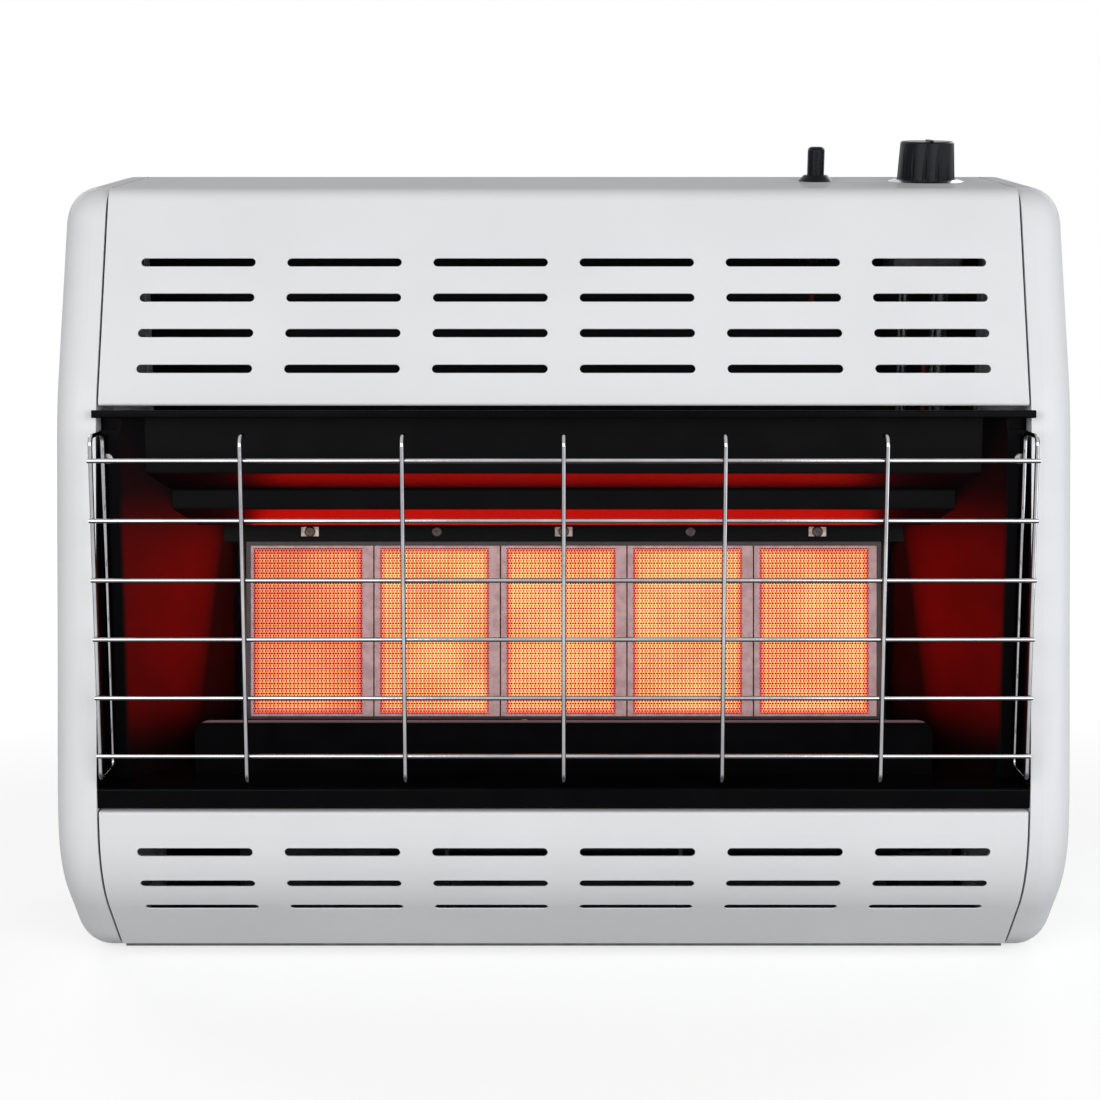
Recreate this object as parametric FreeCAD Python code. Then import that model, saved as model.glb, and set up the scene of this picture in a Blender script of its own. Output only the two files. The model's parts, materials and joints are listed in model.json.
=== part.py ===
import FreeCAD, Part
import math
import os

# Radiant gas heater: louvred casing, five ceramic plaques, a pull-off wire guard and top controls.
# X runs to the right, Y to the back, Z up. The origin lies under the middle of the part.
# Lengths are in millimetres and angles in degrees.

# Casing
casing_width = 730.0
casing_height = 582.0
casing_depth = 200.0
casing_sheet = 1.0
side_panel_width = 32.9
panel_seam = 1.6
upper_edge_height = 412.7
upper_lean = 20.0
top_slope = 6.1
panel_bend_radius = 14.0
panel_return = 16.0
return_bend_radius = 2.0
lower_edge_height = 126.5
belly_reach = 37.0
belly_flat = 16.5
belly_radius = 90.0
chin_lean = 42.5
chin_gap = 8.0
side_corner_radius = 34.0
side_bow_radius = 220.0
bow_share = 0.9
chin_radius = 60.0
side_edge_round = 24.0
side_rim = 18.0
base_flange = 20.0

# Louvre slots
slot_columns = 6
slot_margin = 26.0
slot_bridge = 22.8
slot_height = 6.4
upper_slot_rows = 4
upper_slot_share = 0.1682
upper_pitch_share = 0.1627
lower_slot_rows = 3
lower_slot_drop = 29.8
lower_row_pitch = 27.0

# Firebox
firebox_sheet = 0.9
hood_gap = 5.7
hood_overhang = 8.0
hood_face_back = 14.0
hood_face_drop = 43.5
hood_steps = 2
hood_step_depth = 17.0
hood_step_drop = 14.0
hood_step_rise = 14.0
hood_bend_radius = 2.5
trim_height = 5.5
trim_depth = 6.0
trim_groove = 4.0
trim_overlap = 1.0
reflector_set_back = 2.0
reflector_flange = 16.0
throat_gap = 11.9
reflector_depth = 74.0
reflector_tail = 20.0
reflector_bend_radius = 3.0
lip_height = 15.0
lip_set_back = 3.0
lip_gap = 1.5
lip_return = 14.0
baffle_overhang = 31.9
baffle_height = 39.5
baffle_back = 10.0
baffle_foot = 14.0
baffle_corner_radius = 12.0
shield_overhang = 12.0
shield_top_gap = 17.0
shield_gap = 15.0
shield_foot = 16.0

# Burner, drawn upright and then leaned back
burner_lean = 8.0
burner_back = 49.0
burner_floor_gap = 31.65
burner_hood_gap = 16.15
burner_side_gap = 94.9
plaque_count = 5
plaque_depth = 13.0
plaque_gap = 1.0
frame_sheet = 0.9
frame_lip = 2.0
frame_flange = 17.0
gasket_depth = 3.0
gasket_width = 8.0
plenum_sheet = 1.0
plenum_depth = 50.0
plenum_inset = 6.0
bracket_height = 70.0
bracket_flange = 20.0
bracket_lap = 32.0
venturi_share = 0.25
venturi_radius = 14.0
venturi_wall = 1.0
venturi_length = 75.0
venturi_collar = 5.0
bell_radius = 20.0
bell_length = 18.0
orifice_gap = 10.0
orifice_radius = 5.5
orifice_bore = 0.8
orifice_length = 14.0
manifold_radius = 8.0
manifold_wall = 1.5
manifold_end_gap = 35.0
manifold_overhang = 22.0
hanger_width = 3.0
hanger_margin = 8.0
hanger_foot = 18.0
hanger_share = 0.75

# Wire guard
wire = 3.2
guard_reach = 52.0
guard_bottom_gap = 23.5
guard_top_gap = 16.7
cross_wires = 6
cross_bottom_gap = 19.7
cross_top_gap = 18.0
uprights = 5
upright_pitch = 111.2
upright_tip = 14.0
loop_inset = 5.4
wire_gap = 0.05
loop_stand_off = 5.0
guard_bend_radius = 6.0
hook_length = 14.0
hook_height = 40.0
hook_clearance = 0.5

# Controls on the top
control_inset = 54.0
control_pitch = 85.0
knob_inset = 51.5
knob_radius = 22.0
knob_top_radius = 20.4
knob_height = 30.0
knob_flutes = 14
flute_radius = 1.5
knob_pointer_width = 3.0
knob_pointer_height = 1.4
knob_edge = 1.2
knob_travel = 3.0
knob_socket = 22.0
knob_hollow = 5.0
knob_wall = 5.0
bezel_gap = 1.0
bezel_sheet = 1.0
bezel_flange = 5.0
bezel_depth = 5.0
bezel_rise = 1.6
stem_radius = 4.0
stem_fit = 0.05
stem_depth = 40.0
washer_radius = 9.0
washer_depth = 1.0
washer_drop = 1.0
valve_width = 54.0
valve_depth = 48.0
valve_top = 20.0
valve_height = 46.0
valve_neck_radius = 9.0
valve_bracket_sheet = 1.5
valve_bracket_width = 74.0
valve_bracket_depth = 60.0
valve_bracket_leg = 44.0
gas_port_x = 14.0
gas_port_back = 10.0
gas_port_front = 12.0
gas_nut_radius = 8.0
gas_nut_length = 12.0
pilot_nut_radius = 5.0
button_radius = 6.5
button_fit = 0.08
button_height = 26.0
button_depth = 10.0
button_dome = 3.0
button_travel = 7.0
collar_radius = 13.4
collar_top_radius = 9.2
collar_height = 4.6
collar_gap = 0.5
igniter_neck_radius = 8.4
igniter_neck_length = 12.0
igniter_body_radius = 10.5
igniter_body_length = 50.0
igniter_nut_radius = 13.0
igniter_nut_length = 5.0
terminal_radius = 4.0
terminal_length = 7.0

# Gas supply
regulator_width = 44.0
regulator_depth = 40.0
regulator_height = 40.0
regulator_rise = 28.0
regulator_cap_radius = 17.0
regulator_cap_height = 12.0
regulator_edge = 3.0
inlet_radius = 13.0
inlet_bore = 8.4
inlet_thread_depth = 16.0
inlet_hole_gap = 4.0
gas_tube_radius = 5.0
gas_tube_wall = 1.0
gas_tube_bend = 18.0
tube_drop = 30.0

# Pilot group and leads
pilot_x = -14.0
pilot_pitch = 15.0
pilot_back = 30.0
pilot_stand = 9.0
pilot_radius = 5.0
pilot_length = 24.0
pilot_slot = 2.0
pilot_bracket_sheet = 2.0
pilot_bracket_margin = 9.0
probe_radius = 2.4
probe_length = 26.0
electrode_radius = 3.2
electrode_length = 18.0
spark_pin_radius = 0.9
spark_pin_length = 8.0
pilot_tube_radius = 2.4
pilot_tube_wall = 0.8
lead_radius = 1.6
spark_lead_radius = 2.5
lead_bend = 8.0
lead_lane_rise = 27.0
lead_run_drop = 31.0
lead_run_back = 47.0
lead_lane_pitch = 11.0
spark_lane_offset = 2.0
spark_lane_back = 122.0
spark_lane_drop = 38.0
floor_hole_gap = 1.0

# Fasteners
screw_head_radius = 4.0
screw_head_height = 1.8
screw_crown = 1.2
recess_length = 3.6
recess_width = 0.9
recess_depth = 1.0
screw_radius = 1.9
screw_length = 7.0
screw_fit = 0.1
rear_screw_inset = 7.0
flange_screw_drop = 31.5
nut_width = 7.0
nut_height = 3.0
rear_side_shares = (0.1, 0.5, 0.9)
rear_row_shares = (-0.7, 0.0, 0.7)
clip_columns = (0, 2, 4)
clip_width = 13.0
clip_height = 7.0
clip_sheet = 1.2
hang_spacing = 406.4
hang_drop = 82.0
hang_slot_radius = 3.5
hang_slot_length = 16.0

# Fits and cuts
seat_gap = 0.2
cut_over = 8.0
tiny = 0.001

V = FreeCAD.Vector
X_AXIS = V(1, 0, 0)
Y_AXIS = V(0, 1, 0)
Z_AXIS = V(0, 0, 1)
ORIGIN = V(0, 0, 0)


def sin(angle):
    return math.sin(math.radians(angle))


def cos(angle):
    return math.cos(math.radians(angle))


def tan(angle):
    return math.tan(math.radians(angle))


# Places worked out from the values above
half_width = casing_width / 2
front_half = half_width - side_panel_width - panel_seam
side_inner = front_half + panel_seam
inner_half = side_inner - seat_gap
slot_pitch = (2 * (front_half - slot_margin) + slot_bridge) / slot_columns
slot_length = slot_pitch - slot_bridge
datum_y = guard_reach - (guard_reach + casing_depth + screw_head_height) / 2
rear_y = datum_y + casing_depth
rear_in = rear_y - casing_sheet
belly_y = datum_y - belly_reach
arc_top_z = lower_edge_height - belly_flat
belly_z = arc_top_z - belly_radius * tan(chin_lean / 2)
chin_y = belly_y + belly_z * tan(chin_lean)
front_turn = math.degrees(math.atan2(belly_reach, upper_edge_height - lower_edge_height))
lower_bow_radius = min(side_bow_radius, bow_share * belly_flat / tan(front_turn / 2))
floor_z = lower_edge_height + lip_gap + lip_height
lip_y = belly_y + lip_set_back
hood_z = upper_edge_height - hood_gap
hood_low_z = hood_z - hood_face_drop - hood_steps * hood_step_drop - (hood_steps - 1) * hood_step_rise
hood_face_y = datum_y + hood_face_back
flange_y = datum_y - reflector_set_back
baffle_y = datum_y + baffle_back
burner_low = floor_z + burner_floor_gap
burner_high = hood_low_z - burner_hood_gap
burner_height = (burner_low + burner_high) / 2
field_half = inner_half - burner_side_gap
plaque_pitch = (2 * field_half + plaque_gap) / plaque_count
plaque_width = plaque_pitch - plaque_gap
plaque_height = (burner_high - burner_low) / cos(burner_lean)
field_rise = plaque_height / 2
burner_y = datum_y + burner_back + field_rise * sin(burner_lean)
frame_half = field_half + seat_gap + frame_sheet
frame_rise = field_rise + seat_gap + frame_sheet
reflector_throat = frame_half + throat_gap
baffle_half = frame_half + baffle_overhang
shield_half = reflector_throat + shield_overhang
shield_height = hood_z - shield_top_gap
plenum_front = plaque_depth + gasket_depth
plenum_half = field_half - plenum_inset
plenum_rise = field_rise - plenum_inset
plenum_back = plenum_front + plenum_depth
plenum_middle = plenum_front + plenum_depth / 2
shield_y = burner_y + plenum_rise * sin(burner_lean) + plenum_back * cos(burner_lean) + shield_gap
venturi_x = frame_half * 2 * venturi_share
venturi_end = plenum_rise + venturi_length
orifice_end = venturi_end + orifice_gap
manifold_drop = orifice_end + orifice_length + manifold_radius
control_y = rear_y - control_inset
knob_x = front_half - knob_inset
knob_hole_radius = knob_radius + bezel_gap + bezel_sheet + seat_gap
igniter_x = knob_x - control_pitch
manifold_reach = knob_x + gas_port_x - manifold_end_gap
guard_bottom = lower_edge_height + guard_bottom_gap
guard_top = upper_edge_height - guard_top_gap
cross_bottom = guard_bottom + cross_bottom_gap
cross_pitch = (guard_top - cross_top_gap - cross_bottom) / (cross_wires - 1)
loop_half_width = inner_half - loop_inset
upright_y = datum_y - guard_reach + wire / 2
cross_y = upright_y + wire + wire_gap
loop_front_y = cross_y + wire + wire_gap
loop_back_y = flange_y - loop_stand_off
pilot_y = datum_y + pilot_back
pilot_z = floor_z + pilot_stand
lead_lane_height = floor_z + lead_lane_rise
lead_run_height = floor_z - lead_run_drop


def top_z(y):
    """Height of the sloping top at a depth."""
    return casing_height - (rear_y - y) * tan(top_slope)


def top_corner():
    """Where the leaning upper panel meets the sloping top."""
    rise = top_z(datum_y) - upper_edge_height
    y = datum_y + rise * tan(upper_lean) / (1 - tan(upper_lean) * tan(top_slope))
    return y, top_z(y)


def front_y(z):
    """Front of the casing beside the firebox at a height."""
    share = (z - lower_edge_height) / (upper_edge_height - lower_edge_height)
    return belly_y + share * belly_reach


def burner_point(rise, back):
    """Depth and height of a point given in the burner's own upright drawing."""
    y = burner_y + rise * sin(burner_lean) + back * cos(burner_lean)
    z = burner_height + rise * cos(burner_lean) - back * sin(burner_lean)
    return y, z


def top_point(x, across, up):
    """A point beside a control axis, measured along and square to the top."""
    y = control_y + across * cos(top_slope) - up * sin(top_slope)
    z = top_z(control_y) + across * sin(top_slope) + up * cos(top_slope)
    return V(x, y, z)


def on_burner(shape):
    shape.rotate(ORIGIN, X_AXIS, -burner_lean)
    shape.translate(V(0, burner_y, burner_height))
    return shape


def on_top(shape, x):
    shape.rotate(ORIGIN, X_AXIS, top_slope)
    shape.translate(V(x, control_y, top_z(control_y)))
    return shape


def in_yz(point):
    return V(0, point.x, point.y)


def in_xy(point):
    return V(point.x, point.y, 0)


def in_xz(point):
    return V(point.x, 0, point.y)


def flat(points):
    return [V(u, v, 0) for u, v in points]


def bend(before, corner, after, radius):
    """Start, middle and end of the arc that rounds one corner."""
    way_in = (corner - before).normalize()
    way_out = (after - corner).normalize()
    half_turn = way_in.getAngle(way_out) / 2
    reach = radius * math.tan(half_turn)
    to_centre = (way_out - way_in).normalize()
    inset = radius / math.cos(half_turn) - radius
    return corner - way_in * reach, corner + to_centre * inset, corner + way_out * reach


def line(a, b):
    if a.distanceToPoint(b) < tiny:
        return []
    return [Part.LineSegment(a, b).toShape()]


def path_edges(points, radii):
    """Straight runs joined by tangent arcs, with one radius for each inner point."""
    edges = []
    start = points[0]
    for i, radius in enumerate(radii, 1):
        if radius <= 0:
            edges += line(start, points[i])
            start = points[i]
            continue
        arc_start, middle, arc_end = bend(points[i - 1], points[i], points[i + 1], radius)
        edges += line(start, arc_start)
        edges.append(Part.Arc(arc_start, middle, arc_end).toShape())
        start = arc_end
    return edges + line(start, points[-1])


def closed_wire(points, radii):
    middle = (points[-1] + points[0]) / 2
    return Part.Wire(path_edges([middle, *points, middle], radii))


def left_offset(points, distance):
    """A flat path moved to its left, with mitred corners."""
    runs = [(b - a).normalize() for a, b in zip(points, points[1:])]
    lefts = [V(-run.y, run.x, 0) for run in runs]
    moved = [points[0] + lefts[0] * distance]
    for corner, before, after in zip(points[1:], lefts, lefts[1:]):
        moved.append(corner + (before + after) * (distance / (1 + before.dot(after))))
    return moved + [points[-1] + lefts[-1] * distance]


def ribbon(points, radii, thickness, place):
    """The face of a bent sheet seen on its edge; the thickness lies to the left of the path."""
    path = flat(points)
    inner = left_offset(path, thickness)
    inner_radii = []
    for i, radius in enumerate(radii, 1):
        turn = (path[i] - path[i - 1]).cross(path[i + 1] - path[i]).z
        change = -thickness if turn > 0 else thickness
        inner_radii.append(radius + change if radius > 0 else 0)
    there = [place(p) for p in path]
    back = [place(p) for p in reversed(inner)]
    edges = path_edges(there, radii) + line(there[-1], back[0])
    edges += path_edges(back, inner_radii[::-1]) + line(back[-1], there[0])
    return Part.Face(Part.Wire(edges))


def sheet_across(points, radii, thickness, half):
    """A bent sheet that runs across the heater."""
    face = ribbon(points, radii, thickness, in_yz)
    face.translate(V(-half, 0, 0))
    return face.extrude(X_AXIS * (2 * half))


def block(low, high):
    size = high - low
    return Part.makeBox(size.x, size.y, size.z, low)


def centred_block(width, depth, height, middle):
    return block(middle - V(width, depth, height) / 2, middle + V(width, depth, height) / 2)


def rod(radius, start, way, length):
    return Part.makeCylinder(radius, length, start, way)


def tube(outer, inner, start, way, length):
    return rod(outer, start, way, length).cut(rod(inner, start, way, length))


def bent_tube(points, radius, wall, bend_radius):
    """A round tube on straight runs joined by tangent arcs; a wall of zero makes it solid."""
    path = Part.Wire(path_edges(points, [bend_radius] * (len(points) - 2)))
    way = points[1] - points[0]
    ends = Part.Wire(Part.makeCircle(radius, points[0], way))
    solid = path.makePipeShell([ends], True, False)
    section = math.pi * radius ** 2
    print("tube volume over section times length", round(solid.Volume / section / path.Length, 4))
    if wall > 0:
        bore = Part.Wire(Part.makeCircle(radius - wall, points[0], way))
        solid = solid.cut(path.makePipeShell([bore], True, False))
    return solid


def stadium(radius, length):
    """A slot lying flat, with round ends, centred on the origin."""
    reach = length / 2 - radius
    a, b = V(-reach, -radius, 0), V(reach, -radius, 0)
    c, d = V(reach, radius, 0), V(-reach, radius, 0)
    right, left = V(length / 2, 0, 0), V(-length / 2, 0, 0)
    edges = line(a, b) + [Part.Arc(b, right, c).toShape()]
    edges += line(c, d) + [Part.Arc(d, left, a).toShape()]
    return Part.Face(Part.Wire(edges))


def slot_row(radius, length, pitch, count, depth):
    """Tools for one row of slots, standing upright and cutting along Y."""
    tools = []
    for column in range(count):
        tool = stadium(radius, length).extrude(Z_AXIS * depth)
        tool.rotate(ORIGIN, X_AXIS, 90)
        tool.translate(V((column - (count - 1) / 2) * pitch, depth / 2, 0))
        tools.append(tool)
    return Part.makeCompound(tools)


def screw(place, way):
    """A pan-head screw with a cross recess, seated at a place and driven the way given."""
    head = rod(screw_head_radius, ORIGIN, Z_AXIS, screw_head_height)
    crown = [e for e in head.Edges if abs(e.CenterOfMass.z - screw_head_height) < tiny]
    head = head.makeFillet(screw_crown, crown)
    for length, width in ((recess_length, recess_width), (recess_width, recess_length)):
        head = head.cut(centred_block(length, width, 2 * recess_depth, V(0, 0, screw_head_height)))
    whole = head.fuse(rod(screw_radius, ORIGIN, Z_AXIS * -1, screw_length)).removeSplitter()
    whole.Placement = FreeCAD.Placement(place, FreeCAD.Rotation(Z_AXIS, way * -1))
    return whole


def screw_hole(place, way):
    return rod(screw_radius + screw_fit, place - way * cut_over, way, 2 * cut_over)


def rear_screw_places():
    """Screw seats on the back of the rear panel."""
    places = []
    for side in (-1, 1):
        x = side * (half_width - rear_screw_inset)
        for share in rear_side_shares:
            places.append(V(x, rear_y, casing_height * share))
    for share in rear_row_shares:
        x = front_half * share
        places.append(V(x, rear_y, top_z(rear_y) - panel_return / 2))
        places.append(V(x, rear_y, base_flange / 2))
    return places


def drilled_for_rear_screws(shape):
    return shape.cut([screw_hole(place, Y_AXIS) for place in rear_screw_places()])


def casing_face(inset, x):
    """Side outline of the casing, drawn in from its skin by an inset."""
    corner_y, corner_z = top_corner()
    points = flat(
        [
            (rear_in, top_z(rear_in)),
            (corner_y, corner_z),
            (datum_y, upper_edge_height),
            (belly_y, lower_edge_height),
            (belly_y, belly_z),
            (chin_y, 0),
            (rear_in, 0),
        ]
    )
    radii = [0, side_corner_radius, side_bow_radius, lower_bow_radius, belly_radius, chin_radius, 0]
    looped = [points[-1], *points, points[0]]
    moved = left_offset(looped, inset)[1:-1]
    shrunk = [max(radius - inset, 0) for radius in radii]
    face = Part.Face(closed_wire([in_yz(p) for p in moved], shrunk))
    face.translate(V(x, 0, 0))
    return face


def rounded_outside(solid, x, y, radius):
    """Rounds the outer rim of a side shell, apart from its upright rear edge."""
    edges = []
    for edge in solid.Edges:
        middle = edge.CenterOfMass
        if abs(middle.x - x) < tiny and abs(middle.y - y) > tiny:
            edges.append(edge)
    return solid.makeFillet(radius, edges)


def right_side_panel():
    width = half_width - side_inner
    outer = casing_face(0, side_inner).extrude(X_AXIS * width)
    outer = rounded_outside(outer, half_width, rear_in, side_edge_round)
    cavity = casing_face(casing_sheet, side_inner + casing_sheet)
    cavity = cavity.extrude(X_AXIS * (width - 2 * casing_sheet))
    cavity_round = side_edge_round - casing_sheet
    cavity = rounded_outside(cavity, half_width - casing_sheet, rear_in - casing_sheet, cavity_round)
    window = casing_face(side_rim, side_inner - cut_over).extrude(X_AXIS * (2 * cut_over))
    return drilled_for_rear_screws(outer.cut([cavity, window]))


def mirrored(shape):
    return shape.mirror(ORIGIN, X_AXIS)


def inlet_place():
    """Middle of the gas inlet at the back of the rear panel."""
    return V(knob_x + gas_port_x, rear_y, casing_sheet + regulator_rise + regulator_height / 2)


def hang_places():
    return [V(side * hang_spacing / 2, rear_in, casing_height - hang_drop) for side in (-1, 1)]


def rear_panel():
    top = top_z(rear_in)
    corners = flat([(-half_width, 0), (half_width, 0), (half_width, top), (-half_width, top)])
    wire_loop = closed_wire([in_xz(p) for p in corners], [side_edge_round] * len(corners))
    face = Part.Face(wire_loop)
    face.translate(V(0, rear_in, 0))
    panel = face.extrude(Y_AXIS * casing_sheet)
    cuts = [rod(inlet_radius + inlet_hole_gap, inlet_place() - Y_AXIS * cut_over, Y_AXIS, 2 * cut_over)]
    for place in hang_places():
        tool = slot_row(hang_slot_radius, hang_slot_length, 0, 1, 2 * cut_over)
        tool.translate(place)
        cuts.append(tool)
    return drilled_for_rear_screws(panel.cut(cuts))


def upper_slots():
    run = (top_corner()[1] - upper_edge_height) / cos(upper_lean)
    rows = []
    for row in range(upper_slot_rows):
        rise = run * (upper_slot_share + row * upper_pitch_share)
        tool = slot_row(slot_height / 2, slot_length, slot_pitch, slot_columns, cut_over)
        tool.rotate(ORIGIN, X_AXIS, -upper_lean)
        tool.translate(V(0, datum_y + rise * sin(upper_lean), upper_edge_height + rise * cos(upper_lean)))
        rows.append(tool)
    return rows


def upper_front_panel():
    points = [
        (rear_in, top_z(rear_in) - panel_return),
        (rear_in, top_z(rear_in)),
        top_corner(),
        (datum_y, upper_edge_height),
        (datum_y + panel_return, upper_edge_height),
    ]
    radii = [0, panel_bend_radius, return_bend_radius]
    panel = sheet_across(points, radii, casing_sheet, front_half)
    knob_hole = rod(knob_hole_radius, V(0, 0, -cut_over), Z_AXIS, 2 * cut_over)
    igniter_hole = rod(igniter_neck_radius + seat_gap, V(0, 0, -cut_over), Z_AXIS, 2 * cut_over)
    holes = [on_top(knob_hole, knob_x), on_top(igniter_hole, igniter_x)]
    return drilled_for_rear_screws(panel.cut(upper_slots() + holes))


def lower_slots():
    rows = []
    for row in range(lower_slot_rows):
        run = lower_slot_drop + row * lower_row_pitch - belly_flat
        angle = math.degrees(run / belly_radius)
        tool = slot_row(slot_height / 2, slot_length, slot_pitch, slot_columns, cut_over)
        tool.rotate(ORIGIN, X_AXIS, angle)
        y = belly_y + belly_radius * (1 - cos(angle))
        tool.translate(V(0, y, arc_top_z - belly_radius * sin(angle)))
        rows.append(tool)
    return rows


def chin_end_y():
    return belly_y + (belly_z - chin_gap) * tan(chin_lean)


def lower_front_panel():
    points = [
        (belly_y + panel_return, lower_edge_height),
        (belly_y, lower_edge_height),
        (belly_y, belly_z),
        (chin_end_y(), chin_gap),
        (chin_end_y() + panel_return, chin_gap),
    ]
    radii = [return_bend_radius, belly_radius, return_bend_radius]
    panel = sheet_across(points, radii, casing_sheet, front_half)
    return panel.cut(lower_slots())


def base_pan():
    front = chin_end_y() + panel_return + seat_gap
    points = [(front, base_flange), (front, 0), (rear_in, 0), (rear_in, base_flange)]
    radii = [return_bend_radius, return_bend_radius]
    return drilled_for_rear_screws(sheet_across(points, radii, casing_sheet, inner_half))


def hood_flange_foot():
    """Lower edge of the hood's flange on the burner frame."""
    return burner_point(frame_rise, -2 * frame_sheet - firebox_sheet)


def hood_flange_run():
    """Height of the hood's flange, measured along the leaning burner."""
    return (hood_low_z - hood_flange_foot()[1]) / cos(burner_lean)


def burner_screw_rise():
    return frame_rise + hood_flange_run() / 2


def hood_points():
    """The hood's visible side, from its front edge back to its burner flange."""
    points = [(datum_y - hood_overhang, hood_z), (hood_face_y, hood_z)]
    y, z = hood_face_y, hood_z - hood_face_drop
    points.append((y, z))
    for step in range(hood_steps):
        if step > 0:
            z -= hood_step_rise
            points.append((y, z))
        y += hood_step_depth
        z -= hood_step_drop
        points.append((y, z))
    foot_y, foot_z = hood_flange_foot()
    points.append((foot_y + hood_flange_run() * sin(burner_lean), z))
    points.append((foot_y, foot_z))
    return points


def burner_screw_places():
    """Seats of the screws that hold the hood flange to the burner frame."""
    places = []
    for column in range(plaque_count):
        x = (column - (plaque_count - 1) / 2) * plaque_pitch
        y, z = burner_point(burner_screw_rise(), -2 * frame_sheet - firebox_sheet)
        places.append(V(x, y, z))
    return places


def burner_way():
    return V(0, cos(burner_lean), -sin(burner_lean))


def heat_hood():
    points = hood_points()
    radii = [hood_bend_radius] * (len(points) - 2)
    hood = sheet_across(points, radii, firebox_sheet, inner_half)
    return hood.cut([screw_hole(place, burner_way()) for place in burner_screw_places()])


def hood_trim():
    """A grooved bar pressed over the hood's front edge."""
    half = side_inner + trim_overlap
    edge = datum_y - hood_overhang
    front = edge + trim_groove - trim_depth
    middle = hood_z + firebox_sheet / 2
    bar = centred_block(2 * half, trim_depth, trim_height, V(0, front + trim_depth / 2, middle))
    long_edges = [e for e in bar.Edges if abs(e.Vertexes[0].X - e.Vertexes[1].X) > tiny]
    bar = bar.makeFillet(trim_height / 4, long_edges)
    groove = block(V(-half, edge, hood_z), V(half, edge + trim_depth, hood_z + firebox_sheet))
    return bar.cut(groove)


def reflector_envelope():
    """All the space above the hood's visible side, used to trim the reflectors."""
    path = flat(hood_points())
    lowered = left_offset(path, -seat_gap)
    last = lowered[-1]
    back = rear_y
    points = [in_yz(p) for p in lowered]
    points += [V(0, back, last.y), V(0, back, casing_height), V(0, lowered[0].x, casing_height)]
    edges = path_edges(points + [points[0]], [0] * (len(points) - 1))
    face = Part.Face(Part.Wire(edges))
    return face.extrude(X_AXIS * half_width)


def front_trimmer(x):
    """Cuts away what stands in front of the casing beside the firebox."""
    front = belly_y - guard_reach
    points = [
        V(0, front, 0),
        V(0, front_y(0) + seat_gap, 0),
        V(0, front_y(casing_height) + seat_gap, casing_height),
        V(0, front, casing_height),
        V(0, front, 0),
    ]
    face = Part.Face(Part.Wire(path_edges(points, [0] * (len(points) - 2))))
    face.translate(V(x, 0, 0))
    return face.extrude(X_AXIS * (half_width - x))


def flange_screw_place():
    x = inner_half - reflector_flange / 2
    return V(x, flange_y - firebox_sheet, hood_z - flange_screw_drop)


def hook_heights():
    return [guard_bottom + hook_height, guard_top - hook_height]


def right_reflector():
    """The right reflector; the crumbs that the hood's bends cut off it are dropped."""
    points = [
        (reflector_throat, flange_y + reflector_depth + reflector_tail),
        (reflector_throat, flange_y + reflector_depth),
        (inner_half - reflector_flange, flange_y),
        (inner_half, flange_y),
        (inner_half, belly_y),
    ]
    radii = [reflector_bend_radius] * (len(points) - 2)
    face = ribbon(points, radii, -firebox_sheet, in_xy)
    face.translate(V(0, 0, floor_z))
    sheet = face.extrude(Z_AXIS * (upper_edge_height - floor_z))
    cuts = [reflector_envelope(), heat_hood(), front_trimmer(0)]
    cuts.append(screw_hole(flange_screw_place(), Y_AXIS))
    for z in hook_heights():
        start = V(loop_half_width, flange_y - cut_over, z)
        cuts.append(rod(wire / 2 + hook_clearance, start, Y_AXIS, 2 * cut_over))
    pieces = sheet.cut(cuts).Solids
    return max(pieces, key=lambda piece: piece.Volume)


def pilot_places():
    """Thermocouple, pilot burner and spark electrode, from left to right."""
    return [V(pilot_x + step * pilot_pitch, pilot_y, pilot_z) for step in (-1, 0, 1)]


def firebox_floor():
    back_front = -frame_sheet - firebox_sheet
    high_y, high_z = burner_point(-field_rise, back_front)
    low_y = high_y - (high_z - floor_z) * tan(burner_lean)
    points = [
        (high_y, high_z),
        (low_y, floor_z),
        (lip_y, floor_z),
        (lip_y, lower_edge_height + lip_gap),
        (lip_y + lip_return, lower_edge_height + lip_gap),
    ]
    radii = [return_bend_radius] * (len(points) - 2)
    floor = sheet_across(points, radii, firebox_sheet, inner_half)
    holes = []
    for side in (-1, 1):
        width = inner_half - frame_half
        middle = V(side * (frame_half + width / 2), datum_y, floor_z + baffle_height)
        holes.append(centred_block(width, 2 * casing_depth, 2 * baffle_height, middle))
    for place in pilot_places():
        start = V(place.x, place.y, floor_z - cut_over)
        holes.append(rod(spark_lead_radius + floor_hole_gap, start, Z_AXIS, 2 * cut_over))
    return floor.cut(holes)


def burner_baffle():
    half = baffle_half
    corners = flat([(-half, 0), (half, 0), (half, baffle_height), (-half, baffle_height)])
    radii = [0, 0, baffle_corner_radius, baffle_corner_radius]
    face = Part.Face(closed_wire([in_xz(p) for p in corners], radii))
    face.translate(V(0, baffle_y, floor_z))
    plate = face.extrude(Y_AXIS * firebox_sheet)
    foot = block(V(-half, baffle_y, floor_z), V(half, baffle_y + baffle_foot, floor_z + firebox_sheet))
    whole = plate.fuse(foot).removeSplitter()
    holes = []
    for place in pilot_places():
        start = V(place.x, place.y, floor_z - cut_over)
        holes.append(rod(spark_lead_radius + floor_hole_gap, start, Z_AXIS, 2 * cut_over))
    return whole.cut(holes)


def rear_heat_shield():
    points = [(shield_y, shield_height), (shield_y, casing_sheet), (shield_y + shield_foot, casing_sheet)]
    return sheet_across(points, [return_bend_radius], firebox_sheet, shield_half)


def plaque(column):
    x = (column - (plaque_count - 1) / 2) * plaque_pitch
    body = centred_block(plaque_width, plaque_depth, plaque_height, V(x, plaque_depth / 2, 0))
    return on_burner(body)


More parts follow.
